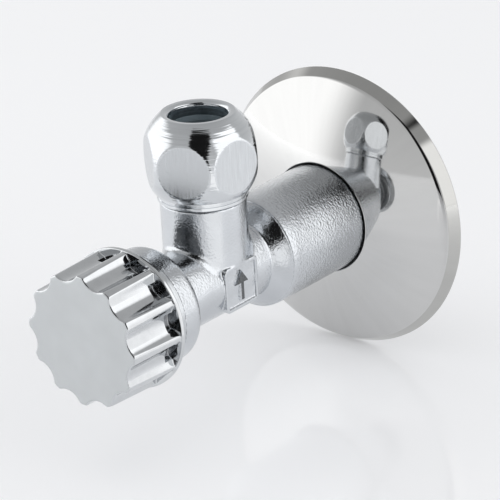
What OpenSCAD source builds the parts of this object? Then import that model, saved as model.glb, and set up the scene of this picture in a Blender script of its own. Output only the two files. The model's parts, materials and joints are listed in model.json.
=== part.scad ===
// Angle stop valve: wall-mounted shut-off valve for a basin or toilet supply.
// The inlet thread points to +Y, into the wall. The handle is on the -Y side.
// The outlet, with its compression nut, points to +Z.
// The origin is on the valve's main axis in the plane of the wall.
// Stations along the main axis are distances in front of the wall, so y = -station.

/* [Inlet] */
// Major diameter of the inlet thread (G 1/2)
inlet_thread_d = 20.955; // [20.9:0.005:21.0]
// Pitch of the inlet thread
inlet_pitch = 1.814; // [1.7:0.002:1.9]
// Length of the threaded shank behind the wall plane
shank_len = 14; // [10:0.5:20]
// Diameter of the inlet bore
inlet_bore_d = 10; // [8:0.5:11]

/* [Body] */
// Diameter of the smooth barrel
barrel_d = 24.6; // [24:0.1:25]
// Station where the barrel ends and the domed ring begins
barrel_front = 33; // [32:0.2:34]
// Radius of the sphere that the ring's dome is part of
ring_dome = 15; // [13.5:0.5:18]
// Diameter of the waist between the two bosses
waist_d = 17.4; // [17:0.1:17.8]
// Diameter of the head boss
boss_d = 25.4; // [25:0.1:26]
// Station of the head boss's rear face
boss_rear = 63.7; // [63.5:0.1:63.9]
// Station of the head boss's front face
boss_front = 69.4; // [69.2:0.1:69.5]
// Corner radius of the head boss's rear edge
boss_round = 2.0; // [1.5:0.1:2.4]

/* [Outlet] */
// Station of the outlet axis
outlet_at = 47.3; // [46.8:0.1:47.8]
// Diameter of the outlet neck
neck_d = 18.3; // [18:0.1:18.6]
// Height of the neck's shoulder under the nut
neck_top = 17.9; // [17.5:0.1:18]
// Major diameter of the outlet thread (G 3/8)
outlet_thread_d = 16.66; // [16.6:0.01:16.7]
// Pitch of the outlet thread
outlet_pitch = 1.337; // [1.3:0.001:1.4]
// Diameter of the pipe socket
socket_d = 12.2; // [12.1:0.05:12.3]

/* [Compression nut] */
// Diameter of the ball that the nut is turned to
nut_ball_d = 24.9; // [24.5:0.1:25.5]
// Width across the flats
nut_flats = 22; // [21.6:0.1:22.2]
// Height of the nut's top face
nut_top = 36.9; // [36.5:0.1:37.2]
// Diameter of the hole in the nut's top
nut_hole_d = 12.54; // [12.4:0.02:12.8]
// Turn of the flats about the outlet axis
nut_turn = -8.5; // [-30:0.5:30]

/* [Escutcheon] */
// Outer diameter of the rosette
rosette_d = 64.6; // [60:0.2:70]
// Depth of the rosette from the wall to its collar
rosette_depth = 8.7; // [8.5:0.1:9.2]
// Depth of the rosette's rim skirt
rim_depth = 2.9; // [2.5:0.1:3.2]
// Thickness of the pressed sheet
sheet = 0.8; // [0.6:0.1:0.9]

/* [Handle] */
// Diameter over the lobes at the face
handle_d = 28.9; // [28.5:0.1:29.2]
// Number of flutes
flutes = 12; // [10:1:13]
// Radius of each flute
flute_r = 4.0; // [3.5:0.1:4.2]
// Depth of each flute
flute_depth = 1.5; // [1:0.1:1.6]
// Diameter of the flange behind the flutes
flange_d = 30.6; // [30.4:0.1:31]
// Station of the flange's rear face
flange_rear = 72.8; // [72.8:0.1:73.5]
// Station of the handle's face
handle_face = 87.4; // [87.2:0.1:88]

/* [Spindle] */
// Diameter of the smooth stem
stem_d = 7; // [6.8:0.1:7]
// Major diameter of the spindle thread
lead_d = 9.8; // [9.6:0.1:9.8]
// Lead of the spindle thread
lead = 1.25; // [1:0.25:1.5]

/* [Hidden] */
$fn = 96;

chrome = [0.80, 0.81, 0.83];
satin = [0.72, 0.74, 0.76];
brass = [0.80, 0.66, 0.36];
slate = [0.25, 0.28, 0.31];

// Depth of the body's machined thread reliefs and the room left round moving parts
over = 0.1;
run_gap = 0.05;

// Main axis stations of the body
shank_end = -shank_len;
thread_front = 1.4;
barrel_rear = 3.6;
seat_at = 41.0;
chamber_rear = 39.8;
chamber_front = 65.3;
chamber_r = 7.0;
seat_r = 4.5;
head_thread_r = 9.5;
head_pitch = 1.25;

// Heights along the outlet axis
socket_floor = 20;
outlet_top = 29;
cone_start = 27.4;
cone_r = 7.0;
outlet_bore_r = 5;
neck_base = 4.5;
pad_size = [10.5, 10];
pad_x = 9.05;
pad_z = -0.3;
pad_at = outlet_at - 0.45;

// Stations of the bonnet and the gland
collar_front = 71.5;
hex_front = 76.0;
bonnet_rear = 57.4;
web_rear = 68.0;
packing_rear = 69.5;
packing_front = 72.0;
follower_front = 72.8;
gland_front = 79.0;
packing_r = 5.4;
gland_thread_r = 5.9;

// Stations of the spindle
button_rear = 48.0;
button_front = 49.6;
lip_front = 51.0;
lead_rear = 53.2;
lead_front = 64.2;
spline_rear = 80.0;
spindle_tip = 85.4;
clip_at = 84.0;
spline_teeth = 16;

// Profile helpers: a profile is a list of [radius, station] points.

function arc(c, r, from, to, steps = 10) =
    [for (i = [0 : steps]) let (a = from + (to - from) * i / steps) c + r * [cos(a), sin(a)]];

// Ring crests and roots of a thread, without its helix: crest flats are cylinders of the major radius.
function crests(outer, inner, from, to, pitch) =
    let (turns = floor(abs(to - from) / pitch), step = (to > from ? 1 : -1) * pitch)
    [for (i = [0 : turns - 1]) let (s = from + i * step)
        each [[inner, s], [inner, s + 0.1 * step], [outer, s + 0.4 * step],
              [outer, s + 0.6 * step], [inner, s + 0.9 * step]]];

// Turns a profile about the main axis, with stations counted away from the wall.
module turned(profile) {
    rotate([90, 0, 0]) rotate_extrude() polygon(profile);
}

// Turns a profile about the outlet axis, with heights as stations.
module turned_up(profile) {
    translate([0, -outlet_at, 0]) rotate_extrude() polygon(profile);
}

// A ring of rectangular section on the main axis.
module ring(inner, outer, from, to) {
    turned([[inner, from], [outer, from], [outer, to], [inner, to]]);
}

// Places its children at a station on the main axis, with +Z of the child pointing away from the wall.
module at_station(s) {
    translate([0, -s, 0]) rotate([90, 0, 0]) children();
}

module rounded_rect(size, r) {
    square([size.x - 2 * r, size.y], center = true);
    square([size.x, size.y - 2 * r], center = true);
    for (x = [-1, 1], y = [-1, 1])
        translate([x * (size.x / 2 - r), y * (size.y / 2 - r)]) circle(r, $fn = 32);
}

// ---- Body ----

// Threaded shank behind the barrel, with a relief for the sealing ring.
module shank() {
    r_crest = inlet_thread_d / 2;
    r_root = r_crest - 1.16;
    turned(concat(
        [[0, barrel_rear + 1], [r_root, barrel_rear + 1], [r_root, thread_front]],
        crests(r_crest, r_root, thread_front, shank_end + 0.4, inlet_pitch),
        [[r_root, shank_end + 0.6], [r_root - 0.6, shank_end], [0, shank_end]]));
}

// Outside of the casting: barrel, domed ring, waist and head boss.
module body_outside() {
    r_barrel = barrel_d / 2;
    r_waist = waist_d / 2;
    r_boss = boss_d / 2;
    r_ring = r_barrel - 0.35;
    dome_at = barrel_front - sqrt(ring_dome * ring_dome - r_ring * r_ring);
    fillet = 1;
    turned(concat(
        [[0, barrel_rear], [r_barrel - 0.5, barrel_rear], [r_barrel, barrel_rear + 0.5],
         [r_barrel, barrel_front - 1.2], [r_barrel - 0.2, barrel_front], [r_ring, barrel_front]],
        arc([0, dome_at], ring_dome, acos(r_ring / ring_dome), acos(r_waist / ring_dome)),
        arc([r_waist + fillet, boss_rear - fillet], fillet, 180, 90, 6),
        arc([r_boss - boss_round, boss_rear + boss_round], boss_round, -90, 0),
        [[r_boss, boss_front - 0.15], [r_boss - 0.15, boss_front], [0, boss_front]]));
}

// Water way along the main axis: inlet bore, raised seat, chamber and threaded mouth.
module body_way() {
    turned(concat(
        [[0, shank_end - over], [inlet_bore_d / 2 + 0.5, shank_end - over],
         [inlet_bore_d / 2, shank_end + 0.5], [inlet_bore_d / 2, seat_at - 3], [seat_r, seat_at - 2.5],
         [seat_r, seat_at], [seat_r + 0.9, seat_at], [seat_r + 1.5, chamber_rear],
         [chamber_r, chamber_rear], [chamber_r, chamber_front], [head_thread_r, chamber_front + 0.3]],
        crests(head_thread_r, head_thread_r + 0.45, chamber_front + 0.3, boss_front - 0.4, head_pitch),
        [[head_thread_r, boss_front - 0.3], [head_thread_r + 0.5, boss_front],
         [head_thread_r + 0.5, boss_front + over], [0, boss_front + over]]));
}

module outlet_outside() {
    r_neck = neck_d / 2;
    r_thread = outlet_thread_d / 2;
    r_root = r_thread - 0.85;
    turned_up(concat(
        [[0, neck_base], [r_neck, neck_base], [r_neck, neck_top - 0.3], [r_neck - 0.3, neck_top],
         [r_root, neck_top]],
        crests(r_thread, r_root, neck_top + 0.9, outlet_top - 0.6, outlet_pitch),
        [[r_root, outlet_top - 0.3], [r_root - 0.3, outlet_top], [0, outlet_top]]));
}

module outlet_way() {
    turned_up([[0, 2], [outlet_bore_r, 2], [outlet_bore_r, socket_floor], [socket_d / 2, socket_floor],
        [socket_d / 2, cone_start], [cone_r, outlet_top], [cone_r, outlet_top + over],
        [0, outlet_top + over]]);
}

// Raised square pads on both sides of the waist.
module side_pads() {
    for (side = [-1, 1])
        translate([side * (pad_x - 1.5), -pad_at, pad_z]) rotate([90, 0, 90])
            linear_extrude(3, center = true) rounded_rect(pad_size, 1);
}

// Plain flow arrow on the near pad, pointing up to the outlet.
module flow_arrow() {
    translate([pad_x - 0.2, -pad_at, pad_z]) rotate([90, 0, 90]) linear_extrude(0.55) {
        polygon([[0, 3.5], [1.9, 1.1], [-1.9, 1.1]]);
        translate([-0.45, -3.5]) square([0.9, 4.8]);
    }
}

module valve_body() {
    color(satin) difference() {
        union() {
            shank();
            body_outside();
            outlet_outside();
            side_pads();
            flow_arrow();
        }
        body_way();
        outlet_way();
    }
}

// Plastic sealing ring in the relief at the front of the inlet thread.
module inlet_seal() {
    r_root = inlet_thread_d / 2 - 1.16;
    color("ivory") ring(r_root + run_gap, inlet_thread_d / 2 + 0.9, thread_front + 0.3, barrel_rear);
}

// ---- Escutcheon ----

// Radius of the sphere that the dome is part of, from its rim radius, hole radius and rise.
function cap_radius(a, b, rise) =
    let (k = (a * a - b * b - rise * rise) / (2 * rise)) sqrt(b * b + (k + rise) * (k + rise));

module escutcheon() {
    hole_r = barrel_d / 2 + 0.35;
    rim_r = rosette_d / 2 - 1.5;
    rise = rosette_depth - rim_depth;
    cap_r = cap_radius(rim_r, hole_r, rise);
    centre = rosette_depth - sqrt(cap_r * cap_r - hole_r * hole_r);
    a_rim = acos(rim_r / cap_r);
    a_hole = acos(hole_r / cap_r);
    rolled = 1.1;
    color(chrome) turned(concat(
        [[rosette_d / 2 - 1.6, 0], [rosette_d / 2, 0], [rosette_d / 2, 0.4]],
        arc([0, centre], cap_r, a_rim, a_hole, 16),
        [[hole_r, rosette_depth - 0.9], [hole_r + rolled, rosette_depth - 0.9],
         [hole_r + rolled, 5.4], [hole_r, 5.4], [hole_r, 4.7], [hole_r + rolled + sheet, 4.7],
         [hole_r + rolled + sheet, rosette_depth - sheet - 0.55]],
        arc([0, centre], cap_r - sheet, a_hole - 3, a_rim, 12),
        [[rosette_d / 2 - sheet, 0.7], [rosette_d / 2 - 1.6, 0.7]]));
}

module escutcheon_ring() {
    color([0.1, 0.1, 0.11])
        ring(barrel_d / 2 + run_gap, barrel_d / 2 + 1.4, 5.45, rosette_depth - 0.95);
}

// ---- Headwork ----

module bonnet() {
    r_collar = boss_d / 2;
    r_skirt = chamber_r - 0.3;
    front_chamfer = 0.5;
    gasket = 0.8;
    color(chrome) difference() {
        union() {
            turned(concat(
                [[0, bonnet_rear], [r_skirt, bonnet_rear], [r_skirt, chamber_front + 0.5]],
                crests(head_thread_r - run_gap, head_thread_r - 0.6, chamber_front + 0.5, boss_front - 0.2,
                    head_pitch),
                [[head_thread_r - 0.6, boss_front + gasket / 2], [r_collar - 0.6, boss_front + gasket / 2],
                 [r_collar - 0.6, boss_front + 0.02], [r_collar, boss_front + 0.02],
                 [r_collar, collar_front - front_chamfer], [r_collar - front_chamfer, collar_front],
                 [0, collar_front]]));
            at_station(collar_front - 0.5) rotate([0, 0, 30])
                cylinder(d = 19 / cos(30), h = hex_front - collar_front + 0.5, $fn = 6);
        }
        turned([[0, bonnet_rear - over], [6.0, bonnet_rear - over], [lead_d / 2 + 0.2, bonnet_rear + 1.0],
            [lead_d / 2 + 0.2, web_rear], [stem_d / 2 + run_gap, web_rear],
            [stem_d / 2 + run_gap, packing_rear], [packing_r, packing_rear],
            [packing_r, follower_front], [gland_thread_r + run_gap, follower_front],
            [gland_thread_r + run_gap, hex_front + over], [0, hex_front + over]]);
    }
}

// Flat gasket, let in behind the collar's rim so that it stays hidden.
module bonnet_gasket() {
    color([0.55, 0.2, 0.15]) ring(head_thread_r + 0.55, boss_d / 2 - 0.65, boss_front, boss_front + 0.4);
}

module gland_packing() {
    color("white") ring(stem_d / 2 + run_gap, packing_r, packing_rear, packing_front);
}

module gland_washer() {
    color(brass) ring(stem_d / 2 + run_gap, packing_r - run_gap, packing_front, follower_front - 0.02);
}

module gland_nut() {
    color(brass) difference() {
        union() {
            turned(concat([[0, follower_front], [gland_thread_r - 0.5, follower_front]],
                crests(gland_thread_r, gland_thread_r - 0.5, follower_front + 0.1, hex_front, 1),
                [[gland_thread_r - 0.5, hex_front + 0.5], [0, hex_front + 0.5]]));
            at_station(hex_front) cylinder(d = 13 / cos(30), h = gland_front - hex_front, $fn = 6);
        }
        turned([[0, follower_front - over], [stem_d / 2 + run_gap, follower_front - over],
            [stem_d / 2 + run_gap, gland_front + over], [0, gland_front + over]]);
    }
}

// ---- Spindle and jumper ----

module spindle() {
    r_stem = stem_d / 2;
    r_lead = lead_d / 2;
    r_neck = 1.95;
    r_spline = 3.1;
    color(brass) union() {
        turned(concat(
            [[0, button_rear], [2.6, button_rear], [3.0, button_rear + 0.4], [3.0, button_front],
             [r_neck, button_front], [r_neck, lip_front + 0.3], [r_lead - 0.9, lip_front + 0.3],
             [r_lead - 0.9, lead_rear]],
            crests(r_lead, r_lead - 0.75, lead_rear, lead_front - 1, lead),
            [[r_lead - 0.6, lead_front - 0.8], [r_lead - 0.6, lead_front], [r_stem, lead_front],
             [r_stem, spline_rear - 0.6], [r_spline, spline_rear], [r_spline, clip_at - 0.1],
             [r_spline - 0.5, clip_at - 0.1], [r_spline - 0.5, clip_at + 0.7], [r_spline, clip_at + 0.7],
             [r_spline, spindle_tip - 0.4], [r_spline - 0.4, spindle_tip], [0, spindle_tip]]));
        at_station(spline_rear) linear_extrude(clip_at - 0.1 - spline_rear) spline_teeth_2d(0.38, 0.46);
    }
}

// The spline's teeth stand out of the stem's end; the bush's slots take a little more.
module spline_teeth_2d(height, width) {
    for (i = [0 : spline_teeth - 1])
        rotate(i * 360 / spline_teeth) translate([2.6, -width / 2]) square([0.5 + height, width]);
}

// The swivelling jumper: a cup for the seat washer and a socket crimped over the spindle's button.
module disc_holder() {
    color(brass) difference() {
        turned([[0, seat_at + 2.2], [5.95, seat_at + 2.2], [5.95, seat_at + 1.0], [6.5, seat_at + 1.0],
            [6.5, seat_at + 3.9], [6.2, seat_at + 4.2], [4.2, seat_at + 4.2], [4.2, lip_front - 0.5],
            [3.7, lip_front], [0, lip_front]]);
        turned([[0, button_rear - 0.2], [3.0 + run_gap, button_rear - 0.2],
            [3.0 + run_gap, button_front + 0.1], [2.0, button_front + 0.1], [2.0, lip_front + over],
            [0, lip_front + over]]);
        turned([[0, seat_at + 2.0], [1.5, seat_at + 2.0], [1.5, seat_at + 6.2], [0, seat_at + 6.2]]);
    }
}

module seat_washer() {
    color([0.12, 0.12, 0.13]) ring(1.5, 5.9, seat_at, seat_at + 2.2);
}

module seat_plate() {
    color(brass) ring(1.5, 3.3, seat_at - 0.6, seat_at);
}

module seat_screw() {
    head = 1.7;
    color([0.75, 0.75, 0.72]) difference() {
        turned([[0, seat_at - 0.6 - head], [2.0, seat_at - 0.6 - head], [2.6, seat_at - 1.0 - head / 2],
            [2.6, seat_at - 0.6], [1.45, seat_at - 0.6], [1.45, seat_at + 5.6], [1.1, seat_at + 6.0],
            [0, seat_at + 6.0]]);
        at_station(seat_at - 0.6 - head / 2) translate([-3, -0.35, -head]) cube([6, 0.7, head]);
    }
}

// ---- Handle ----

module handle() {
    r_face = handle_d / 2;
    r_base = r_face + 0.5;
    r_floor = r_face - flute_depth;
    r_cavity = 11.3;
    cavity_front = 80.0;
    insert_front = 86.0;
    flange = 1.0;
    edge = 0.4;
    first_lobe = -3.4;
    color(satin) difference() {
        union() {
            difference() {
                turned([[0, flange_rear + 0.3], [r_base, flange_rear + 0.3], [r_face, handle_face - edge],
                    [r_face - edge, handle_face], [0, handle_face]]);
                for (i = [0 : flutes - 1])
                    rotate([0, -(first_lobe + (i + 0.5) * 360 / flutes), 0])
                        translate([r_floor + flute_r, -flange_rear, 0]) rotate([90, 0, 0])
                            cylinder(r = flute_r, h = 20);
            }
            turned([[0, flange_rear], [flange_d / 2 - 0.2, flange_rear], [flange_d / 2, flange_rear + 0.2],
                [flange_d / 2, flange_rear + flange - 0.2], [flange_d / 2 - 0.2, flange_rear + flange],
                [0, flange_rear + flange]]);
        }
        turned([[0, flange_rear - over], [r_cavity + 0.3, flange_rear - over],
            [r_cavity, flange_rear + 0.5], [r_cavity, cavity_front], [0, cavity_front]]);
        at_station(cavity_front - over)
            cylinder(d = 12.02 / cos(30), h = insert_front - cavity_front + over, $fn = 6);
    }
}

// Spline bush: a hexagon pressed into the handle, with slots for the spindle's teeth.
module handle_insert() {
    color([0.9, 0.9, 0.88]) difference() {
        at_station(80.2) cylinder(d = 12 / cos(30), h = 5.7, $fn = 6);
        at_station(80.1) linear_extrude(clip_at - 80.1) {
            circle(3.15);
            spline_teeth_2d(0.43, 0.56);
        }
        turned([[0, clip_at - 0.2], [3.75, clip_at - 0.2], [3.75, clip_at + 0.8], [3.2, clip_at + 0.8],
            [3.2, 86], [0, 86]]);
    }
}

// Snap ring in the spindle's end groove, open on one side.
module handle_clip() {
    color([0.6, 0.62, 0.64]) difference() {
        ring(2.65, 3.65, clip_at, clip_at + 0.6);
        at_station(clip_at - over) translate([0, -1, 0]) cube([5, 2, 1]);
    }
}

// ---- Outlet ----

// Conical rubber seal standing in the cone of the outlet's mouth.
module compression_seal() {
    top = 32.6;
    color(slate) turned_up([[socket_d / 2, cone_start + 0.3], [cone_r - 0.1, outlet_top],
        [7.8, outlet_top + 0.02], [7.9, outlet_top + 0.6], [7.9, top - 0.3], [7.6, top],
        [socket_d / 2, top]]);
}

module slip_ring() {
    color(slate) turned_up([[socket_d / 2 + 0.05, 32.68], [8.3, 32.68], [8.3, 33.88],
        [socket_d / 2 + 0.05, 33.88]]);
}

module compression_nut() {
    r_ball = nut_ball_d / 2;
    ball_z = 27.2;
    bottom = neck_top + 0.2;
    shoulder = 33.95;
    r_hole = nut_hole_d / 2;
    r_thread = outlet_thread_d / 2 + 0.15;
    color(chrome) translate([0, -outlet_at, 0]) difference() {
        union() {
            intersection() {
                translate([0, 0, ball_z]) sphere(r_ball);
                rotate(nut_turn + 30) cylinder(d = nut_flats / cos(30), h = 60, $fn = 6);
                translate([0, 0, bottom + 1.9]) cylinder(r = 20, h = nut_top - bottom - 1.9);
            }
            translate([0, 0, bottom]) cylinder(r = 9.6, h = 3);
        }
        rotate_extrude() polygon(concat(
            [[0, bottom - over], [r_thread + 0.3, bottom - over], [r_thread + 0.3, bottom + 0.2]],
            crests(r_thread, r_thread + 0.35, bottom + 0.4, 31, outlet_pitch),
            [[r_thread, 31.2], [8.35, 31.6], [8.35, shoulder], [r_hole, shoulder], [r_hole, nut_top - 0.5],
             [r_hole + 0.8, nut_top + over], [0, nut_top + over]]));
    }
}

valve_body();
inlet_seal();
escutcheon();
escutcheon_ring();
bonnet();
bonnet_gasket();
gland_packing();
gland_washer();
gland_nut();
spindle();
disc_holder();
seat_washer();
seat_plate();
seat_screw();
handle_insert();
handle_clip();
handle();
compression_seal();
slip_ring();
compression_nut();
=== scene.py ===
import json
import math
import bmesh
import bpy
import numpy as np
from mathutils import Matrix, Vector


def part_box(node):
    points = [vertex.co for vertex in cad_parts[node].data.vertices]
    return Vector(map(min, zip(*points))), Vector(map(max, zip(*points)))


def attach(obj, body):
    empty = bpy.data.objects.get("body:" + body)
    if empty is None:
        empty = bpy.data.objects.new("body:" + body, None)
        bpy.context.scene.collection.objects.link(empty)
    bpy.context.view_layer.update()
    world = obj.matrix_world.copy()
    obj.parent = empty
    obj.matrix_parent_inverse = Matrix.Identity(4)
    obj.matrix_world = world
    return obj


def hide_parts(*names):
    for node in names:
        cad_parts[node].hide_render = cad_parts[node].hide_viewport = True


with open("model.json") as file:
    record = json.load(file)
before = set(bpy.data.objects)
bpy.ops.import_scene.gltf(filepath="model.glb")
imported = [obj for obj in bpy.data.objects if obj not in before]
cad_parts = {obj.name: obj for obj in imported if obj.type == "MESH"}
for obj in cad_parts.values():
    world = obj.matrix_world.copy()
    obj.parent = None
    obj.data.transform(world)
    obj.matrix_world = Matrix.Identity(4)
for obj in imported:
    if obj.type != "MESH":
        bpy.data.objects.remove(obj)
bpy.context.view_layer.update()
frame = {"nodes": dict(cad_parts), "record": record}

# Shapes are in millimetres and become metres in mesh_piece. A station is a distance in front of the wall
# along the main axis, so y = -station. The outlet's axis is vertical, at the station OUTLET_AT.
MM = 0.001


def span(node, axis):
    """A CAD node's lowest and highest place along an axis, in millimetres."""
    low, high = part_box(node)
    return low[axis] / MM, high[axis] / MM


MOUNTS = {m["name"]: m for m in frame["record"]["mounts"]}
INLET_END = -span("valve_body", 1)[1]
OUTLET_TOP = span("valve_body", 2)[1]
BOSS_FRONT = -span("valve_body", 1)[0]
BOSS_R = span("bonnet", 0)[1]
OUTLET_AT = -MOUNTS["pipe_socket"]["pos_m"][1] / MM
INLET_THREAD_R = MOUNTS["inlet_thread"]["dims"]["r_mm"]
INLET_BORE_R = MOUNTS["water_inlet"]["dims"]["r_mm"]
SOCKET_R = MOUNTS["pipe_socket"]["dims"]["r_mm"]
ROSETTE_R = span("escutcheon", 0)[1]
ROSETTE_FRONT = -span("escutcheon", 1)[0]
FLANGE_R = span("handle", 0)[1]
FLANGE_REAR = -span("handle", 1)[1]
HANDLE_FACE = -span("handle", 1)[0]
NUT_BOTTOM, NUT_TOP = span("compression_nut", 2)
FLOOR_Z = span("escutcheon", 2)[0]

# Body: a fillet fills an inner corner, and a round or an edge takes off an outer one
INLET_PITCH = 1.814
INLET_THREAD_DEPTH = 1.16
OUTLET_PITCH = 1.337
OUTLET_THREAD_DEPTH = 0.85
THREAD_FRONT = 1.4
BARREL_REAR = 3.6
BARREL_R = 12.3
BARREL_FRONT = 33.0
RING_R = 11.95
RING_DOME = 15.0
WAIST_R = 8.7
BOSS_REAR = 63.7
BOSS_ROUND = 2.0
BOSS_FILLET = 1.0
NECK_R = 9.15
NECK_BASE = 4.5
NECK_TOP = 17.9
NECK_ROUND = 0.3
NECK_FILLET = 1.1
OUTLET_THREAD_R = 8.33
SMALL_FILLET = 0.2
FINE_EDGE = 0.1

# Square pads on the waist's sides: a rim round a sunk field, which holds the flow arrow on the near side
PAD_X = 9.05
PAD_Z = -0.3
PAD_AT = OUTLET_AT - 0.45
PAD_SIZE = (10.5, 10)
PAD_CORNER = 1.0
PAD_EDGE = 0.15
PAD_RIM = 0.8
PAD_SUNK = 0.45
ARROW_LENGTH = 6.4

# The cast part's skin: where it starts, inside the barrel, and the step of the grid it is sampled on
CAST_REAR = BARREL_FRONT - 1.0
CAST_STEP = 0.24

# Handle
LOBE_R = 14.45
LOBE_BASE_R = 14.95
FLUTES = 12
FLUTE_R = 4.0
FLUTE_DEPTH = 1.5
FIRST_LOBE = math.radians(-3.4)
HANDLE_STEPS = FLUTES * 36
FLANGE_FRONT = FLANGE_REAR + 1.0
POCKET_DEPTH = 1.1
POCKET_REAR = FLANGE_FRONT + 0.1
POCKET_FRONT = FLANGE_FRONT + 2.2

# Nut
NUT_BALL_R = 12.45
NUT_BALL_Z = 27.2
NUT_APOTHEM = 11.0
NUT_HOLE_R = 6.27
NUT_COLLAR_R = 9.6
NUT_TURN = math.radians(-8.5)

# Camera: seen from in front of the valve's right side, a little above, through a long lens
CAM_AZIMUTH = math.radians(40.2)
CAM_ELEVATION = math.radians(22.5)
CAM_ROLL = math.radians(-3.22)
CAM_DISTANCE = 587 * MM
CAM_TARGET = Vector((0, -33.06 * MM, 0.75 * MM))
CAM_LENS = 196.2


# ---- Mesh tools ----

def mesh_piece(name, points, faces, sharp=35):
    """A smooth-shaded object from points in millimetres, with edges over the sharp angle kept crisp."""
    mesh = bpy.data.meshes.new(name)
    mesh.from_pydata((np.asarray(points) * MM).tolist(), [], faces)
    bm = bmesh.new()
    bm.from_mesh(mesh)
    bmesh.ops.remove_doubles(bm, verts=bm.verts, dist=1e-7)
    bmesh.ops.dissolve_degenerate(bm, edges=bm.edges, dist=1e-7)
    bmesh.ops.recalc_face_normals(bm, faces=bm.faces)
    bm.to_mesh(mesh)
    bm.free()
    piece = bpy.data.objects.new(name, mesh)
    bpy.context.collection.objects.link(piece)
    shade(piece, sharp)
    return piece


def shade(piece, sharp):
    """Smooth shading, with edges over an angle in degrees kept crisp."""
    piece.data.shade_smooth()
    piece.data.set_sharp_from_angle(angle=math.radians(sharp))


def loops_mesh(loops):
    """Points and faces of a skin through loops of equal count, with a fan over each end loop."""
    loops = [np.asarray(loop, float) for loop in loops]
    count = len(loops[0])
    ends = [loops[0].mean(0, keepdims=True), loops[-1].mean(0, keepdims=True)]
    points = np.concatenate(loops + ends)
    faces = []
    for row in range(len(loops) - 1):
        a = row * count
        for i in range(count):
            j = (i + 1) % count
            faces.append((a + i, a + j, a + count + j, a + count + i))
    first, last = len(points) - 2, len(points) - 1
    end = (len(loops) - 1) * count
    for i in range(count):
        j = (i + 1) % count
        faces.append((first, j, i))
        faces.append((last, end + i, end + j))
    return points, faces


def on_main(r, angle, station):
    """Points round the main axis."""
    r, angle, station = np.broadcast_arrays(r, angle, station)
    return np.stack([r * np.cos(angle), -station, r * np.sin(angle)], -1)


def on_outlet(r, angle, height):
    """Points round the outlet's axis."""
    r, angle, height = np.broadcast_arrays(r, angle, height)
    return np.stack([r * np.cos(angle), -OUTLET_AT + r * np.sin(angle), height], -1)


def turns(count):
    """Equal steps round a full turn, in radians."""
    return np.arange(count) * 2 * math.pi / count


def arc(centre, r, start, end, steps=8):
    """Profile points on an arc, with angles in degrees from the radius direction."""
    angles = np.radians(np.linspace(start, end, steps + 1))
    return [(centre[0] + r * math.cos(a), centre[1] + r * math.sin(a)) for a in angles]


def turned(name, profile, place=on_main, count=192, sharp=35):
    """A solid turned from a closed profile of (radius, station) points.

    A profile that starts and ends on the axis gives a solid with flat ends, and any other gives a ring."""
    angles = turns(count)
    loops = [place(r, angles, s) for r, s in profile if r > 0]
    if len(loops) < len(profile):
        return mesh_piece(name, *loops_mesh(loops), sharp)
    rows = len(loops)
    faces = []
    for row in range(rows):
        a, b = row * count, (row + 1) % rows * count
        for i in range(count):
            j = (i + 1) % count
            faces.append((a + i, a + j, b + j, b + i))
    return mesh_piece(name, np.concatenate(loops), faces, sharp)


def threaded_rod(name, root, crest, pitch, start, end, place=on_main, count=96):
    """A rod with a right-handed thread that fades out over half a turn at both ends.

    A row of points is one turn of a helix, so its end joins the row that starts one pitch further on."""
    # One pitch of the thread, as shares of the pitch and of the depth
    outline = [(0, 0), (0.08, 0), (0.38, 1), (0.5, 1), (0.62, 1), (0.92, 0)]
    per_turn = len(outline)
    rows = (int(abs(end - start) / pitch) + 3) * per_turn
    angles = turns(count)
    low, high = min(start, end), max(start, end)
    grid = []
    for row in range(rows):
        along, depth = outline[row % per_turn]
        s = low + pitch * (row // per_turn + along - 1 + angles / (2 * math.pi))
        s = np.clip(s, low, high)
        fade = np.clip(np.minimum(s - low, high - s) / (0.5 * pitch), 0, 1)
        grid.append(place(root + (crest - root) * depth * fade, angles, s))
    points = np.concatenate(grid + [place(0, 0, low)[None], place(0, 0, high)[None]])
    faces = []
    for row in range(rows - 1):
        for i in range(count - 1):
            a = row * count + i
            faces.append((a, a + 1, a + 1 + count, a + count))
        a, b = row * count + count - 1, (row + per_turn) * count
        if row + per_turn + 1 < rows:
            faces.append((a, b, b + count, a + count))
    for i in range(count):
        j = (i + 1) % count
        faces.append((len(points) - 2, j, i))
        faces.append((len(points) - 1, (rows - 1) * count + i, (rows - 1) * count + j))
    for k in range(per_turn):
        a, b = (rows - per_turn + k - 1) * count + count - 1, (rows - 1) * count
        faces.append((a, b, a + count))
    return mesh_piece(name, points, faces, 40)


def combine(base, tools, operation, sharp=35):
    """Adds the tools to the base, or cuts them out of it."""
    for tool in tools:
        step = base.modifiers.new("combine", "BOOLEAN")
        step.operation = operation
        step.solver = "MANIFOLD"
        step.object = tool
    graph = bpy.context.evaluated_depsgraph_get()
    mesh = bpy.data.meshes.new_from_object(base.evaluated_get(graph))
    base.modifiers.clear()
    base.data = mesh
    for tool in tools:
        bpy.data.objects.remove(tool)
    shade(base, sharp)
    return base


def smooth_min(a, b, k):
    """The smaller of two radii, eased across the corner between them."""
    h = np.clip(0.5 + 0.5 * (b - a) / k, 0, 1)
    return b + (a - b) * h - k * h * (1 - h)


def hexagon(angles, apothem):
    """A hexagon's outline as a radius for each angle."""
    return apothem / np.cos((angles + math.pi / 6) % (math.pi / 3) - math.pi / 6)


def round_min(a, b, k):
    """The smaller of two distances, with the corner between them filled by an arc of radius k."""
    return np.maximum(k, np.minimum(a, b)) - np.hypot(np.maximum(k - a, 0), np.maximum(k - b, 0))


def round_max(a, b, k):
    """The larger of two distances, with the edge between them rounded to radius k."""
    return np.minimum(-k, np.maximum(a, b)) + np.hypot(np.maximum(k + a, 0), np.maximum(k + b, 0))


def rod_distance(r, along, radius, low, high, k):
    """Distance to a rod whose end edges are rounded to radius k."""
    return round_max(r - radius, np.maximum(low - along, along - high), k)


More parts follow.
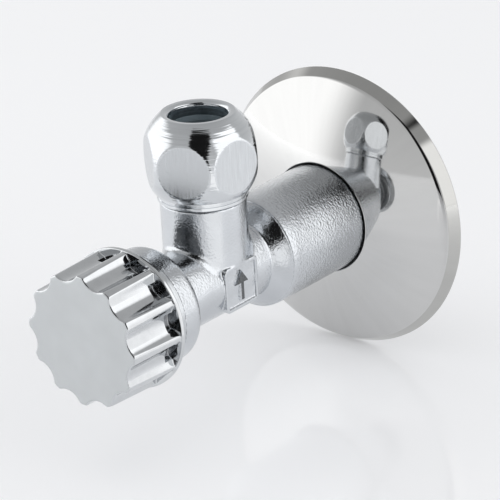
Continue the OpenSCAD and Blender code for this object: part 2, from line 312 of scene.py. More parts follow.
def surface_net(field, low, high, step):
    """Points and quads of the surface where a distance field is zero, one point for each cell crossed."""
    low, high = np.array(low, float), np.array(high, float)
    shape = np.ceil((high - low) / step).astype(int) + 1
    axes = [low[i] + step * np.arange(shape[i]) for i in range(3)]
    values = field(*np.meshgrid(*axes, indexing="ij", sparse=True))
    total = np.zeros((np.prod(shape), 3))
    hits = np.zeros(np.prod(shape))
    stride = np.array([shape[1] * shape[2], shape[2], 1])
    quads = []
    for axis in range(3):
        # The grid edges along this axis that the surface crosses, and where it crosses them
        near = np.take(values, range(shape[axis] - 1), axis)
        far = np.take(values, range(1, shape[axis]), axis)
        edges = np.argwhere((near < 0) != (far < 0))
        a, b = near[tuple(edges.T)], far[tuple(edges.T)]
        crossing = low + step * edges
        crossing[:, axis] += step * a / (a - b)
        # The four cells round an edge share its crossing, and a quad joins them
        u, v = (axis + 1) % 3, (axis + 2) % 3
        home = edges @ stride
        cells = np.stack([home, home - stride[u], home - stride[u] - stride[v], home - stride[v]], -1)
        for k in range(4):
            for i in range(3):
                total[:, i] += np.bincount(cells[:, k], crossing[:, i], len(total))
            hits += np.bincount(cells[:, k], minlength=len(hits))
        quads.append(np.where((a < 0)[:, None], cells, cells[:, ::-1]))
    used = np.flatnonzero(hits)
    number = np.zeros(len(hits), int)
    number[used] = np.arange(len(used))
    points = total[used] / hits[used, None]
    pulls = 4
    for _ in range(pulls):
        points = pull_on_to(field, points)
    return points, number[np.concatenate(quads)].tolist()


def pull_on_to(field, points, reach=0.02):
    """Moves points along the field's gradient towards its zero surface, a short way at most."""
    least_square, farthest = 0.2, 0.1
    x, y, z = points.T
    here = field(x, y, z)
    slope = np.stack([field(x + reach, y, z) - field(x - reach, y, z),
                      field(x, y + reach, z) - field(x, y - reach, z),
                      field(x, y, z + reach) - field(x, y, z - reach)], -1) / (2 * reach)
    square = np.maximum((slope ** 2).sum(-1), least_square)
    return points - slope * np.clip(here / square, -farthest, farthest)[:, None]


# ---- Body ----

def casting_distance(x, y, z):
    """Distance to the cast part in front of the barrel: ring, waist, head boss, neck and side pads.

    The head boss runs on past its front face, where the last line cuts it off with the ring's rear."""
    overrun = 9.0
    s = -y
    r = np.hypot(x, z)
    up = np.hypot(x, s - OUTLET_AT)
    dome_at = BARREL_FRONT - math.sqrt(RING_DOME ** 2 - RING_R ** 2)
    ring = np.maximum(np.hypot(r, s - dome_at) - RING_DOME, r - RING_R)
    waist = r - WAIST_R
    boss = rod_distance(r, s, BOSS_R, BOSS_REAR, BOSS_FRONT + overrun, BOSS_ROUND)
    neck = rod_distance(up, z, NECK_R, NECK_BASE, NECK_TOP, NECK_ROUND)
    shape = round_min(round_min(waist, boss, BOSS_FILLET), ring, SMALL_FILLET)
    shape = round_min(shape, neck, NECK_FILLET)
    along = np.abs(s - PAD_AT) - (PAD_SIZE[0] / 2 - PAD_CORNER)
    across = np.abs(z - PAD_Z) - (PAD_SIZE[1] / 2 - PAD_CORNER)
    outside = np.hypot(np.maximum(along, 0), np.maximum(across, 0))
    square = outside + np.minimum(np.maximum(along, across), 0)
    pads = round_max(square - PAD_CORNER, np.abs(x) - PAD_X, PAD_EDGE)
    sunk = round_max(square - PAD_CORNER + PAD_RIM, PAD_X - PAD_SUNK - np.abs(x), FINE_EDGE)
    shape = round_min(shape, round_max(pads, -sunk, FINE_EDGE), SMALL_FILLET)
    return round_max(shape, np.maximum(CAST_REAR - s, s - BOSS_FRONT), FINE_EDGE)


def barrel():
    """Turned barrel between the wall thread and the cast ring, drawn in a little at its front edge."""
    edge = 0.5
    rear = [(0, BARREL_REAR), (BARREL_R - edge, BARREL_REAR)]
    rear += arc((BARREL_R - edge, BARREL_REAR + edge), edge, -60, 0, 4)
    side = [(BARREL_R, s) for s in np.linspace(BARREL_REAR + 2, BARREL_FRONT - 2, 6)]
    # The front edge, as how far it lies inside the barrel's radius and behind its front
    drawn_in = [(0.02, 1.2), (0.06, 0.6), (0.12, 0.2), (0.2, 0.05), (0.3, 0.0)]
    front = [(BARREL_R - inside, BARREL_FRONT - behind) for inside, behind in drawn_in]
    return turned("barrel", rear + side + front + [(0, BARREL_FRONT)], count=256)


def main_way():
    """Inside of the body along the main axis: inlet bore, valve seat, chamber and headwork mouth."""
    chamfer = 0.5
    seat_at, seat_r = 41.0, 4.5
    chamber_rear, chamber_r = 39.8, 7.0
    mouth_at, mouth_r = 65.3, 9.7
    inlet = [(0, INLET_END - 1), (INLET_BORE_R + chamfer, INLET_END - 1),
             (INLET_BORE_R + chamfer, INLET_END), (INLET_BORE_R, INLET_END + chamfer)]
    seat = [(INLET_BORE_R, seat_at - 3), (seat_r, seat_at - 2.5),
            (seat_r, seat_at), (seat_r + 0.9, seat_at)]
    chamber = [(seat_r + 1.5, chamber_rear), (chamber_r, chamber_rear), (chamber_r, mouth_at)]
    mouth = [(mouth_r, mouth_at + 0.3), (mouth_r, BOSS_FRONT + 1), (0, BOSS_FRONT + 1)]
    return turned("main_way", inlet + seat + chamber + mouth, count=96)


def outlet_way():
    """Inside of the outlet: bore, pipe socket and sealing cone."""
    bore_start, bore_r = 2.0, 5.0
    socket_floor = 20.0
    cone_start, cone_r = 27.4, 7.0
    bore = [(0, bore_start), (bore_r, bore_start), (bore_r, socket_floor)]
    socket = [(SOCKET_R, socket_floor), (SOCKET_R, cone_start)]
    cone = [(cone_r, OUTLET_TOP), (cone_r, OUTLET_TOP + 1), (0, OUTLET_TOP + 1)]
    return turned("outlet_way", bore + socket + cone, on_outlet, 96)


def flow_arrow():
    """Raised flow arrow with sloping sides on the near pad, pointing up to the outlet."""
    head, half_head, half_stem = 2.6, 1.9, 0.45
    rise, rooted, slope = 0.05, 0.8, 0.4
    tip = ARROW_LENGTH / 2

    def outline(x, grow):
        """The arrow's outline at one depth, grown on all sides."""
        shape = [(0, tip + 1.2 * grow), (half_head + grow, tip - head - grow),
                 (half_stem + grow, tip - head - grow), (half_stem + grow, -tip - grow)]
        shape += [(-a, b) for a, b in reversed(shape[1:])]
        return [(x, -PAD_AT + a, PAD_Z + b) for a, b in shape]

    points = outline(PAD_X - rooted, slope) + outline(PAD_X + rise, 0.0)
    count = len(points) // 2
    sides = [(i, (i + 1) % count, (i + 1) % count + count, i + count) for i in range(count)]
    ends = [tuple(range(count)), tuple(range(count, 2 * count))]
    return mesh_piece("arrow", points, sides + ends, sharp=20)


def valve_body():
    """The whole body: cast part, barrel, threaded ends and arrow joined, then the water ways cut out."""
    half_width = 14
    low = (-half_width, -BOSS_FRONT - 0.5, -half_width)
    high = (half_width, -CAST_REAR + 0.5, NECK_TOP + 0.6)
    points, quads = surface_net(casting_distance, low, high, CAST_STEP)
    body = mesh_piece("body_shell", points, quads)
    root_r = INLET_THREAD_R - INLET_THREAD_DEPTH
    thread_end = INLET_END + 0.3
    shank = threaded_rod("shank", root_r, INLET_THREAD_R, INLET_PITCH, THREAD_FRONT, thread_end)
    core = turned("core", [(0, INLET_END), (INLET_THREAD_R - 1.8, INLET_END), (root_r, thread_end),
                           (root_r, BARREL_REAR + 1), (0, BARREL_REAR + 1)], count=96)
    root_r = OUTLET_THREAD_R - OUTLET_THREAD_DEPTH
    thread_end = OUTLET_TOP - 0.3
    outlet = threaded_rod("outlet", root_r, OUTLET_THREAD_R, OUTLET_PITCH,
                          NECK_TOP + 0.5, thread_end, on_outlet)
    pipe_end = turned("pipe_end", [(0, NECK_TOP - 1), (root_r, NECK_TOP - 1), (root_r, thread_end),
                                   (OUTLET_THREAD_R - 1.15, OUTLET_TOP), (0, OUTLET_TOP)], on_outlet, 96)
    combine(body, [barrel(), core, shank, pipe_end, outlet, flow_arrow()], "UNION", 38)
    return combine(body, [main_way(), outlet_way()], "DIFFERENCE", 38)


# ---- Rosette ----

def rosette():
    """Pressed rosette: flared skirt, spherical dome and an edge rolled in round the barrel."""
    sheet, fold = 0.8, 0.25
    rim_depth, rim_r = 2.9, ROSETTE_R - 1.5
    hole_r, groove_r = 12.65, 13.75
    groove_front, groove_rear, collar_rear = 7.8, 5.4, 4.7
    rise = ROSETTE_FRONT - rim_depth
    offset = (rim_r ** 2 - hole_r ** 2 - rise ** 2) / (2 * rise)
    cap_r = math.hypot(hole_r, offset + rise)
    centre = ROSETTE_FRONT - math.sqrt(cap_r ** 2 - hole_r ** 2)
    rim_angle = math.degrees(math.acos(rim_r / cap_r))
    hole_angle = math.degrees(math.acos((hole_r + fold) / cap_r))
    # The dome and its underside stop short of the rim, where the knee and the skirt take over
    dome = arc((0, centre), cap_r, rim_angle + 0.6, hole_angle, 40)
    under = arc((0, centre), cap_r - sheet, hole_angle - 0.5, rim_angle + 0.8, 24)
    roll = dome[-1]
    lip = [(roll[0] - fold * math.sin(a), roll[1] + 0.1 - fold * (1 - math.cos(a)))
           for a in np.radians(np.linspace(15, 90, 6))]
    skirt = [(ROSETTE_R - 1.6, 0), (ROSETTE_R - 0.3, 0), (ROSETTE_R - 0.08, 0.08), (ROSETTE_R, 0.3)]
    knee = [(rim_r + 0.16, rim_depth - 0.28), (rim_r + 0.06, rim_depth - 0.1),
            (rim_r - 0.1, rim_depth + 0.06)]
    groove = [(hole_r, groove_front), (groove_r, groove_front),
              (groove_r, groove_rear), (hole_r, groove_rear)]
    collar = [(hole_r, collar_rear), (groove_r + sheet, collar_rear), (groove_r + sheet, under[0][1] - 0.4)]
    inside = [(ROSETTE_R - sheet - 0.1, 0.7)]
    profile = skirt + knee + dome + lip + groove + collar + under + inside
    return turned("rosette_shell", profile, count=320, sharp=30)


# ---- Handle ----

def lobed(angles, station):
    """The handle's lobed outline as a radius for each angle."""
    share = (HANDLE_FACE - station) / (HANDLE_FACE - FLANGE_REAR)
    lobe = LOBE_R + (LOBE_BASE_R - LOBE_R) * share
    sector = 2 * math.pi / FLUTES
    off = (angles - FIRST_LOBE) % sector - sector / 2
    middle = LOBE_R - FLUTE_DEPTH + FLUTE_R
    inside = np.maximum(FLUTE_R ** 2 - (middle * np.sin(off)) ** 2, 0)
    flute = middle * np.cos(off) - np.sqrt(inside)
    return smooth_min(lobe, flute, 0.5)


def handle():
    """Handwheel in one skin, from the face down the flutes, round the flange's rim and into the socket."""
    angles = turns(HANDLE_STEPS)
    face_edge, fillet, rim_edge = 0.45, 0.3, 0.2
    cavity_r, cavity_front = 11.3, 80.0
    socket_apothem, socket_front = 6.01, 86.0
    half_pocket = math.radians(7.5)
    outline = lobed(angles, HANDLE_FACE)
    sector = 2 * math.pi / FLUTES
    off = np.abs((angles - FIRST_LOBE) % sector - sector / 2)
    pocket = np.where(off < half_pocket, POCKET_DEPTH, 0)
    loops = [on_main(outline * share, angles, HANDLE_FACE) for share in (0.05, 0.5, 0.8, 0.93)]
    for a in np.radians(np.linspace(0, 90, 7)):
        s = HANDLE_FACE - face_edge * (1 - math.cos(a))
        loops.append(on_main(outline - face_edge * (1 - math.sin(a)), angles, s))
    for s in np.linspace(HANDLE_FACE - face_edge - 0.4, POCKET_FRONT, 16):
        loops.append(on_main(lobed(angles, s), angles, s))
    for s in np.linspace(POCKET_FRONT - 0.02, FLANGE_FRONT + fillet, 6):
        loops.append(on_main(lobed(angles, s) - pocket, angles, s))
    base = lobed(angles, FLANGE_FRONT) - pocket
    for a in np.radians(np.linspace(15, 90, 6)):
        r = np.minimum(base + fillet * (1 - math.cos(a)), FLANGE_R - rim_edge)
        loops.append(on_main(r, angles, FLANGE_FRONT + fillet * (1 - math.sin(a))))
    for a in np.radians(np.linspace(90, -90, 13)):
        side = FLANGE_FRONT - rim_edge if a > 0 else FLANGE_REAR + rim_edge
        r = FLANGE_R - rim_edge * (1 - math.cos(a))
        loops.append(on_main(r, angles, side + rim_edge * math.sin(a)))
    loops += [on_main(cavity_r + 0.3, angles, FLANGE_REAR), on_main(cavity_r, angles, FLANGE_REAR + 0.5),
              on_main(cavity_r, angles, cavity_front)]
    socket = hexagon(angles, socket_apothem)
    loops += [on_main(socket, angles, cavity_front), on_main(socket, angles, socket_front)]
    return mesh_piece("handle_shell", *loops_mesh(loops), sharp=40)


# ---- Compression nut ----

def compression_nut():
    """Ball-shaped nut with six round flats, a stepped collar below and a chamfered hole on top."""
    steps, ball_rows = 480, 110
    edge, top_edge, flat_edge = 0.15, 0.12, 0.18
    collar = 1.9
    angles = turns(steps)
    flat = hexagon(angles - NUT_TURN, NUT_APOTHEM)
    step_z = NUT_BOTTOM + collar
    low = math.asin((step_z + edge - NUT_BALL_Z) / NUT_BALL_R)
    high = math.asin((NUT_TOP - top_edge - NUT_BALL_Z) / NUT_BALL_R)
    # The collar with its groove, as how far it lies inside the collar's radius and above the nut's bottom
    below = [(NUT_COLLAR_R - inside, NUT_BOTTOM + up) for inside, up in (
        (1.0, 0), (0.2, 0), (0, 0.2), (0, 0.8), (0.15, 0.9), (0.15, 1.1), (0, 1.2), (0, collar))]
    below += [(NUT_BALL_R * math.cos(low) - edge, step_z)]
    # The hole's rounded mouth, as how far it lies outside the hole's radius and below the nut's top
    above = [(NUT_BALL_R * math.cos(high) - edge, NUT_TOP)]
    above += [(NUT_HOLE_R + outside, NUT_TOP - down) for outside, down in (
        (0.75, 0), (0.55, 0.06), (0.05, 0.5), (0, 0.6), (0, 1.5))]
    loops = [on_outlet(r, angles, z) for r, z in below]
    for a in np.linspace(low, high, ball_rows):
        r = smooth_min(NUT_BALL_R * math.cos(a), flat, flat_edge)
        loops.append(on_outlet(r, angles, NUT_BALL_Z + NUT_BALL_R * math.sin(a)))
    loops += [on_outlet(r, angles, z) for r, z in above]
    shell = mesh_piece("nut_shell", *loops_mesh(loops), sharp=30)
    shoulder, ring_r, ring_z = 33.95, 8.35, 31.6
    thread_r, thread_top = OUTLET_THREAD_R + 0.15, 31.2
    inside = turned("inside", [
        (0, NUT_TOP - 2), (NUT_HOLE_R, NUT_TOP - 2), (NUT_HOLE_R, shoulder), (ring_r, shoulder),
        (ring_r, ring_z), (thread_r, thread_top), (thread_r, NUT_BOTTOM + 0.3),
        (thread_r + 0.4, NUT_BOTTOM - 1), (0, NUT_BOTTOM - 1)], on_outlet, 160)
    mouth = turned("mouth", [(0, NUT_TOP + 1), (NUT_HOLE_R, NUT_TOP + 1), (NUT_HOLE_R, NUT_TOP - 2.5),
                             (0, NUT_TOP - 2.5)], on_outlet, steps)
    thread = threaded_rod("thread", thread_r, thread_r + 0.35, OUTLET_PITCH,
                          NUT_BOTTOM + 0.4, thread_top - 0.2, on_outlet)
    return combine(shell, [inside, mouth, thread], "DIFFERENCE", 30)


# ---- Materials ----
# Noise scales are in waves per millimetre and bump depths are in millimetres.

class Paint:
    """A material with a Principled shader, and short ways to add nodes to it.

    Its first colour and roughness are plain values, for a viewer that can't read the nodes added later."""

    def __init__(self, name, colour, metallic, roughness, **extra):
        self.material = bpy.data.materials.new(name)
        self.material.use_nodes = True
        self.tree = self.material.node_tree
        self.shader = self.tree.nodes["Principled BSDF"]
        self.set("Base Color", (*colour, 1))
        self.set("Metallic", metallic)
        self.set("Roughness", roughness)
        for socket, value in extra.items():
            self.set(socket.replace("_", " "), value)
        self.place = self.add("ShaderNodeTexCoord").outputs["Object"]

    def set(self, socket, value):
        """Gives an input of the shader a fixed value."""
        self.shader.inputs[socket].default_value = value

    def add(self, kind, links=None, **settings):
        """A new node with its settings, and its inputs linked to other nodes or given values."""
        node = self.tree.nodes.new(kind)
        for key, value in settings.items():
            setattr(node, key, value)
        for socket, value in (links or {}).items():
            if isinstance(value, bpy.types.NodeSocket):
                self.tree.links.new(value, node.inputs[socket])
            else:
                node.inputs[socket].default_value = value
        return node

    def link(self, output, socket):
        """Drives an input of the shader from a node."""
        self.tree.links.new(output, self.shader.inputs[socket])

    def noise(self, scale, detail=3.0, vector=None):
        """Noise with its scale in waves per millimetre."""
        links = {"Vector": vector or self.place, "Scale": scale / MM, "Detail": detail}
        return self.add("ShaderNodeTexNoise", links).outputs["Fac"]

    def stretched(self, x, y, z):
        """Object coordinates stretched along each axis."""
        links = {0: self.place, 1: (x, y, z)}
        return self.add("ShaderNodeVectorMath", links, operation="MULTIPLY").outputs[0]

    def around(self, axis, ring, along, spin):
        """Coordinates from the radius, the place along an axis and the angle round it, each scaled."""
        centre = {"main": (0, 0, 0), "outlet": (0, OUTLET_AT * MM, 0)}[axis]
        moved = self.add("ShaderNodeVectorMath", {0: self.place, 1: centre}, operation="ADD").outputs[0]
        split = self.add("ShaderNodeSeparateXYZ", {0: moved})
        x, y, z = split.outputs
        b, length = (z, y) if axis == "main" else (y, z)
        flat = self.add("ShaderNodeCombineXYZ", {0: x, 1: b})
        r = self.add("ShaderNodeVectorMath", {0: flat.outputs[0]}, operation="LENGTH").outputs["Value"]
        turn = self.add("ShaderNodeMath", {0: b, 1: x}, operation="ARCTAN2").outputs[0]
        scaled = {0: self.times(r, ring), 1: self.times(length, along), 2: self.times(turn, spin * MM)}
        return self.add("ShaderNodeCombineXYZ", scaled).outputs[0]

    def times(self, output, factor):
        """The product of a node's output and a number or another output."""
        return self.add("ShaderNodeMath", {0: output, 1: factor}, operation="MULTIPLY").outputs[0]

    def range(self, output, low, high, start=0.3, end=0.7):
        """Maps a noise value's usual span on to another span."""
        return self.add("ShaderNodeMapRange", {"Value": output, "From Min": start, "From Max": end,
                                               "To Min": low, "To Max": high}).outputs[0]

    def colours(self, output, stops):
        """Drives the base colour from a node, through a ramp of (place, colour) stops."""
        ramp = self.add("ShaderNodeValToRGB", {"Fac": output})
        while len(ramp.color_ramp.elements) < len(stops):
            ramp.color_ramp.elements.new(0.5)
        for element, (place, colour) in zip(ramp.color_ramp.elements, stops):
            element.position = place
            element.color = (*colour, 1)
        self.link(ramp.outputs[0], "Base Color")

    def bump(self, height, depth, under=None):
        """Relief of a depth, on top of another relief where there is one."""
        links = {"Height": height, "Distance": depth * MM, "Strength": 1.0}
        if under:
            links["Normal"] = under
        output = self.add("ShaderNodeBump", links).outputs[0]
        self.link(output, "Normal")
        return output


def tint(colour, factor):
    """A colour made lighter or darker."""
    return tuple(min(c * factor, 1) for c in colour)


def cast_chrome(name, pits):
    """Chrome plate over a casting: fine pits, soft waves from polishing and a few duller patches."""
    colour = (0.60, 0.62, 0.645)
    p = Paint(name, colour, 1.0, 0.12)
    grain = p.noise(1.9, 3.0)
    waves = p.noise(0.12, 2.0)
    p.colours(waves, [(0.3, tint(colour, 0.94)), (0.7, tint(colour, 1.04))])
    p.link(p.range(p.noise(0.5, 5.0), 0.08, 0.18), "Roughness")
    p.bump(grain, pits, p.bump(waves, 0.12))
    return p.material


def dull_chrome():
    """Dark, rough plate that paints in shade: on the arrow it stands for the dark edges round the raised
    relief, and on the corner in front of the neck for the shade that the neck mirrors there.
    """
    colour = (0.13, 0.135, 0.14)
    p = Paint("dull_chrome", colour, 1.0, 0.3)
    grain = p.noise(2.0, 4.0)
    p.colours(grain, [(0.3, tint(colour, 0.7)), (0.7, tint(colour, 1.3))])
    p.link(p.range(grain, 0.22, 0.4), "Roughness")
    p.bump(grain, 0.01)
    return p.material


def turned_chrome():
    """Chrome over a turned dome: fine rings round the outlet's axis."""
    colour = (0.66, 0.68, 0.70)
    p = Paint("turned_chrome", colour, 1.0, 0.08)
    rings = p.noise(1.5, 2.0, p.around("outlet", 0.3, 1.0, 0.1))
    broad = p.noise(0.35, 2.0, p.around("outlet", 1.0, 1.0, 2.0))
    p.colours(broad, [(0.3, tint(colour, 0.95)), (0.7, tint(colour, 1.04))])
    p.link(p.range(rings, 0.06, 0.13), "Roughness")
    p.bump(rings, 0.11, p.bump(broad, 0.02))
    return p.material


def brushed_chrome():
    """Chrome over brushed flats: vertical scratches."""
    colour = (0.63, 0.65, 0.67)
    p = Paint("brushed_chrome", colour, 1.0, 0.2)
    lines = p.noise(4.0, 4.0, p.stretched(1, 1, 0.05))
    p.colours(lines, [(0.3, tint(colour, 0.9)), (0.7, tint(colour, 1.06))])
    p.link(p.range(lines, 0.16, 0.28), "Roughness")
    p.bump(lines, 0.008)
    return p.material


def mirror_chrome(name, colour):
    """Polished chrome on sheet: faint marks from the centre outwards and a slow waviness."""
    p = Paint(name, colour, 1.0, 0.07)
    streaks = p.noise(0.9, 4.0, p.around("main", 0.06, 0.06, 14.0))
    waves = p.noise(0.05, 1.0)
    p.colours(streaks, [(0.3, tint(colour, 0.98)), (0.7, tint(colour, 1.01))])
    p.link(p.range(p.noise(0.3, 4.0), 0.03, 0.07), "Roughness")
    p.bump(streaks, 0.0003, p.bump(waves, 0.07))
    return p.material


def plated_plastic():
    """Chrome-plated plastic: glossy, with the slight sink and orange peel of a moulding."""
    colour = (0.62, 0.635, 0.65)
    p = Paint("plated_plastic", colour, 1.0, 0.06)
    peel = p.noise(0.6, 3.0)
    p.colours(peel, [(0.3, tint(colour, 0.97)), (0.7, tint(colour, 1.03))])
    p.link(p.range(p.noise(0.4, 4.0), 0.05, 0.10), "Roughness")
    p.bump(peel, 0.006)
    return p.material


def bare_pocket():
    """Bottom of the handle's pockets, painted dark as shade in the recesses."""
    colour = (0.25, 0.255, 0.265)
    p = Paint("bare_pocket", colour, 1.0, 0.2)
    grain = p.noise(1.5, 3.0)
    p.colours(grain, [(0.3, tint(colour, 0.6)), (0.7, tint(colour, 1.5))])
    p.bump(grain, 0.005)
    return p.material


def satin_plate():
    """The handle's satin face: even and soft, with a very fine grain."""
    colour = (0.59, 0.61, 0.62)
    p = Paint("satin_plate", colour, 1.0, 0.4)
    grain = p.noise(5.0, 3.0)
    p.colours(p.noise(0.15, 2.0), [(0.3, tint(colour, 0.97)), (0.7, tint(colour, 1.03))])
    p.link(p.range(grain, 0.36, 0.46), "Roughness")
    p.bump(grain, 0.004)
    return p.material


def machined(name, colour, axis, rough):
    """Bare metal off a lathe, with tool rings and slow changes of tone."""
    p = Paint(name, colour, 1.0, rough)
    rings = p.noise(4.0, 3.0, p.around(axis, 1.0, 1.0, 0.2))
    p.colours(p.noise(0.2, 3.0), [(0.3, tint(colour, 0.86)), (0.7, tint(colour, 1.08))])
    p.link(p.range(rings, rough - 0.06, rough + 0.1), "Roughness")
    p.bump(rings, 0.012)
    return p.material


def moulded(name, colour, rough, depth, scale=1.2, **extra):
    """Rubber or plastic with a fine moulded grain and uneven gloss."""
    p = Paint(name, colour, 0.0, rough, **extra)
    grain = p.noise(scale, 5.0)
    p.colours(p.noise(0.25, 3.0), [(0.3, tint(colour, 0.85)), (0.7, tint(colour, 1.12))])
    p.link(p.range(grain, rough - 0.08, rough + 0.1), "Roughness")
    p.bump(grain, depth)
    return p.material


def floor_paint():
    """Pale, slightly glossy table top."""
    colour = (0.83, 0.835, 0.85)
    glow = 0.26
    p = Paint("floor", colour, 0.0, 0.3, Specular_IOR_Level=0.5, Emission_Color=(*colour, 1),
              Emission_Strength=glow)
    p.colours(p.noise(0.004, 2.0), [(0.3, tint(colour, 0.99)), (0.7, tint(colour, 1.01))])
    p.link(p.range(p.noise(0.02, 3.0), 0.07, 0.11), "Roughness")
    return p.material


def give(piece, *materials):
    """Replaces a piece's materials. Its faces start with the first of them."""
    piece.data.materials.clear()
    for material in materials:
        piece.data.materials.append(material)


def paint_faces(piece, test, index):
    """Gives another of the materials to the faces whose centre, in millimetres, and normal pass a test."""
    for polygon in piece.data.polygons:
        if test(polygon.center / MM, polygon.normal):
            polygon.material_index = index


# ---- Pieces ----

def mount(piece, node, body):
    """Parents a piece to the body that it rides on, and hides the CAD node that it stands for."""
    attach(piece, body)
    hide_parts(node)


def from_axis(centre):
    """Distance from the main axis."""
    return math.hypot(centre.x, centre.z)


def on_barrel(centre, _):
    """True on the barrel's outside and its rear edge."""
    return -centre.y < BARREL_FRONT - 0.1 and from_axis(centre) > BARREL_R - 0.4


def on_boss_corner(centre, normal):
    """True on the corner where the waist meets the rear of the head boss."""
    return normal.y > 0.5 and BOSS_REAR - 1.0 < -centre.y < BOSS_REAR + 1.6


def on_arrow(centre, _):
    """True on the near pad's arrow."""
    clear_of_waist = 0.15
    along = abs(-centre.y - PAD_AT)
    across = abs(centre.z - PAD_Z)
    within = along < PAD_SIZE[0] / 2 - PAD_RIM - 1 and across < PAD_SIZE[1] / 2 - PAD_RIM - 0.2
    return within and centre.x - (PAD_X - PAD_SUNK) > clear_of_waist


def on_skirt(centre, normal):
    """True on the rosette's outer skirt."""
    return abs(normal.y) < 0.6 and from_axis(centre) > ROSETTE_R - 4


def on_face(centre, normal):
    """True on the handle's flat face."""
    return normal.y < -0.9 and -centre.y > HANDLE_FACE - 0.1


def in_pocket(centre, _):
    """True in the pockets at the rear ends of the handle's flutes."""
    angle = math.atan2(centre.z, centre.x)
    depth = float(lobed(np.array(angle), -centre.y)) - from_axis(centre)
    return POCKET_REAR < -centre.y < POCKET_FRONT and 0.8 * POCKET_DEPTH < depth < POCKET_DEPTH + 0.1


def on_flat(centre, normal):
    """True on the nut's six flats, where the normal is level and square to a flat."""
    tilt, swing = 0.03, 0.04
    turn = (math.atan2(normal.y, normal.x) - NUT_TURN + math.pi / 6) % (math.pi / 3) - math.pi / 6
    out = math.hypot(centre.x, centre.y + OUTLET_AT)
    return abs(normal.z) < tilt and abs(turn) < swing and out > NUT_APOTHEM - 0.2


shell = valve_body()
give(shell, cast_chrome("cast_chrome", 0.07), dull_chrome(), cast_chrome("barrel_chrome", 0.14))
# Painted shade: the rear face of the head boss, in front of the neck, gets the dark plate
paint_faces(shell, on_boss_corner, 1)
# Painted shade: the raised arrow gets the dark plate, for the dark edges round it
paint_faces(shell, on_arrow, 1)
paint_faces(shell, on_barrel, 2)
mount(shell, "valve_body", "body")

plate = rosette()
dome_chrome = mirror_chrome("mirror_chrome", (0.63, 0.63, 0.625))
# Painted shade: the skirt gets a darker, slightly warmer copy of the dome's chrome, for the dimmer
# reflection it shows
skirt_chrome = mirror_chrome("skirt_chrome", (0.49, 0.488, 0.475))
give(plate, dome_chrome, skirt_chrome)
paint_faces(plate, on_skirt, 1)
mount(plate, "escutcheon", "rosette")

knob = handle()
give(knob, plated_plastic(), satin_plate(), bare_pocket())
paint_faces(knob, on_face, 1)
# Painted shade: the floors of the pockets get the dark metal
paint_faces(knob, in_pocket, 2)
mount(knob, "handle", "spindle_group")

nut = compression_nut()
give(nut, turned_chrome(), brushed_chrome())
paint_faces(nut, on_flat, 1)
mount(nut, "compression_nut", "nut")

brass = machined("brass", (0.72, 0.53, 0.24), "main", 0.22)
steel = machined("steel", (0.52, 0.53, 0.54), "main", 0.28)
bonnet_chrome = machined("bonnet_chrome", (0.60, 0.62, 0.64), "main", 0.14)
black_rubber = moulded("black_rubber", (0.02, 0.02, 0.022), 0.55, 0.02)
slate_rubber = moulded("slate_rubber", (0.15, 0.185, 0.205), 0.5, 0.02)
slate_plastic = moulded("slate_plastic", (0.21, 0.26, 0.29), 0.35, 0.01)
white_plastic = moulded("white_plastic", (0.80, 0.80, 0.76), 0.4, 0.01, Subsurface_Weight=0.05)
fibre = moulded("fibre", (0.28, 0.06, 0.035), 0.7, 0.03, 3.0)

FINISHES = {
    "bonnet": bonnet_chrome, "bonnet_gasket": fibre,
    "inlet_seal": white_plastic, "gland_packing": white_plastic, "handle_insert": white_plastic,
    "gland_washer": brass, "gland_nut": brass, "spindle": brass, "disc_holder": brass, "seat_plate": brass,
    "seat_screw": steel, "handle_clip": steel,
    "seat_washer": black_rubber, "escutcheon_ring": black_rubber,
    "compression_seal": slate_rubber, "slip_ring": slate_plastic}
for name, material in FINISHES.items():
    for slot in frame["nodes"][name].material_slots:
        slot.material = material


# ---- Studio ----
# Lengths are in metres here. An azimuth of 0 degrees is the handle's side, and 90 is the valve's right.

def aim(azimuth, elevation, roll=0.0):
    """Rotation that faces the target from an azimuth and an elevation, and the direction to that place."""
    back = Vector((math.sin(azimuth) * math.cos(elevation), -math.cos(azimuth) * math.cos(elevation),
                   math.sin(elevation)))
    right = Vector((math.cos(azimuth), math.sin(azimuth), 0))
    up = back.cross(right)
    side = right * math.cos(roll) + up * math.sin(roll)
    top = up * math.cos(roll) - right * math.sin(roll)
    return Matrix((side, top, back)).transposed(), back


def make_camera():
    """Camera with the view set by the CAM values at the top."""
    data = bpy.data.cameras.new("camera")
    data.lens = CAM_LENS
    data.sensor_width = 36
    data.clip_start = 0.01
    data.clip_end = 20
    camera = bpy.data.objects.new("camera", data)
    turn, back = aim(CAM_AZIMUTH, CAM_ELEVATION, CAM_ROLL)
    camera.matrix_world = Matrix.Translation(CAM_TARGET + back * CAM_DISTANCE) @ turn.to_4x4()
    bpy.context.collection.objects.link(camera)
    bpy.context.scene.camera = camera


def rectangle(name, half_w, half_h, z=0.0):
    """A flat level rectangle round the origin, at a height."""
    corners = [(-half_w, -half_h, z), (half_w, -half_h, z), (half_w, half_h, z), (-half_w, half_h, z)]
    mesh = bpy.data.meshes.new(name)
    mesh.from_pydata(corners, [], [(0, 1, 2, 3)])
    piece = bpy.data.objects.new(name, mesh)
    bpy.context.collection.objects.link(piece)
    return piece


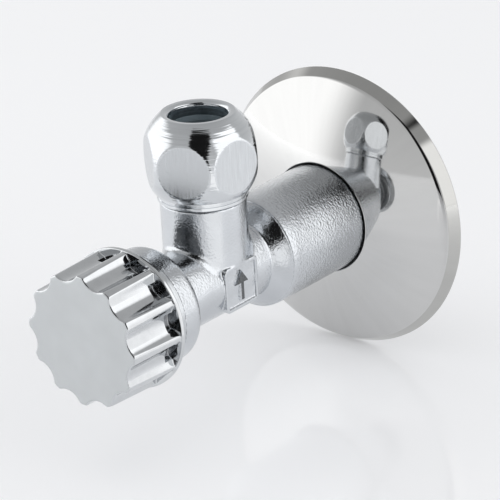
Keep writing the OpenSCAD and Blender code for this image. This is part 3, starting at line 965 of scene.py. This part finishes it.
def card(name, azimuth, elevation, distance, width, height, strength, edge=0.3, roll=0.0, at=CAM_TARGET):
    """A flat card that faces a point and glows, fading out over the edge, a share of its half size.

    The camera doesn't see it and it throws no shadow: it lights the object and shows in reflections."""
    half_w, half_h = width / 2, height / 2
    piece = rectangle(name, half_w, half_h)
    turn, back = aim(math.radians(azimuth), math.radians(elevation), math.radians(roll))
    piece.matrix_world = Matrix.Translation(at + back * distance) @ turn.to_4x4()
    p = Paint(name, (0, 0, 0), 0.0, 1.0)
    x, y, _ = p.add("ShaderNodeSeparateXYZ", {0: p.place}).outputs
    fades = []
    for output, half in ((x, half_w), (y, half_h)):
        off = p.add("ShaderNodeMath", {0: output}, operation="ABSOLUTE").outputs[0]
        links = {"Value": off, "From Min": half, "From Max": half * (1 - edge)}
        fades.append(p.add("ShaderNodeMapRange", links, interpolation_type="SMOOTHSTEP").outputs[0])
    glow = p.add("ShaderNodeEmission", {"Strength": strength})
    clear = p.add("ShaderNodeBsdfTransparent")
    mix = p.add("ShaderNodeMixShader", {0: p.times(*fades), 1: clear.outputs[0], 2: glow.outputs[0]})
    p.tree.links.new(mix.outputs[0], p.tree.nodes["Material Output"].inputs["Surface"])
    piece.data.materials.append(p.material)
    piece.visible_camera = False
    piece.visible_shadow = False
    return piece


def make_floor():
    """A wide table top that the rosette's lowest edge touches."""
    half = 3.0
    piece = rectangle("floor", half, half, FLOOR_Z * MM)
    piece.data.materials.append(floor_paint())


def make_world():
    """Soft light from all round, weaker towards the zenith."""
    world = bpy.data.worlds.new("studio")
    bpy.context.scene.world = world
    world.use_nodes = True
    tree = world.node_tree
    place = tree.nodes.new("ShaderNodeTexCoord")
    height = tree.nodes.new("ShaderNodeSeparateXYZ")
    ramp = tree.nodes.new("ShaderNodeMapRange")
    horizon, zenith = 0.72, 0.46
    ramp.inputs["To Min"].default_value = horizon
    ramp.inputs["To Max"].default_value = zenith
    background = tree.nodes["Background"]
    background.inputs["Color"].default_value = (0.99, 0.995, 1.0, 1)
    tree.links.new(place.outputs["Generated"], height.inputs[0])
    tree.links.new(height.outputs["Z"], ramp.inputs["Value"])
    tree.links.new(ramp.outputs[0], background.inputs["Strength"])


make_camera()
make_floor()
make_world()

# Two large soft lights, on the left and on the right
card("left_box", azimuth=-68, elevation=14, distance=1.0, width=2.0, height=1.2, strength=1.55, edge=0.5)
card("right_box", azimuth=108, elevation=22, distance=1.0, width=1.3, height=1.05, strength=1.55,
     edge=0.25)

# A dark card behind the camera, which gives the chrome its black streaks
gap = card("gap", azimuth=37, elevation=30, distance=0.9, width=0.7, height=1.6, strength=0.01, edge=0.2,
           roll=-9)
gap.visible_diffuse = False

# A small light close by on the right. It is edge-on to the rosette's right rim, which would mirror it
near = card("near", azimuth=102.4, elevation=0, distance=0.0, width=0.079, height=0.036, strength=1.25,
            edge=0.25, at=Vector((0.0465, -0.0865, 0.001)))
near.visible_diffuse = False

# A light overhead that brightens the floor and the dull pieces, and isn't mirrored
fill = card("fill", azimuth=40, elevation=85, distance=1.2, width=1.6, height=1.6, strength=0.9)
fill.visible_glossy = False

bpy.context.scene.view_settings.view_transform = "Standard"
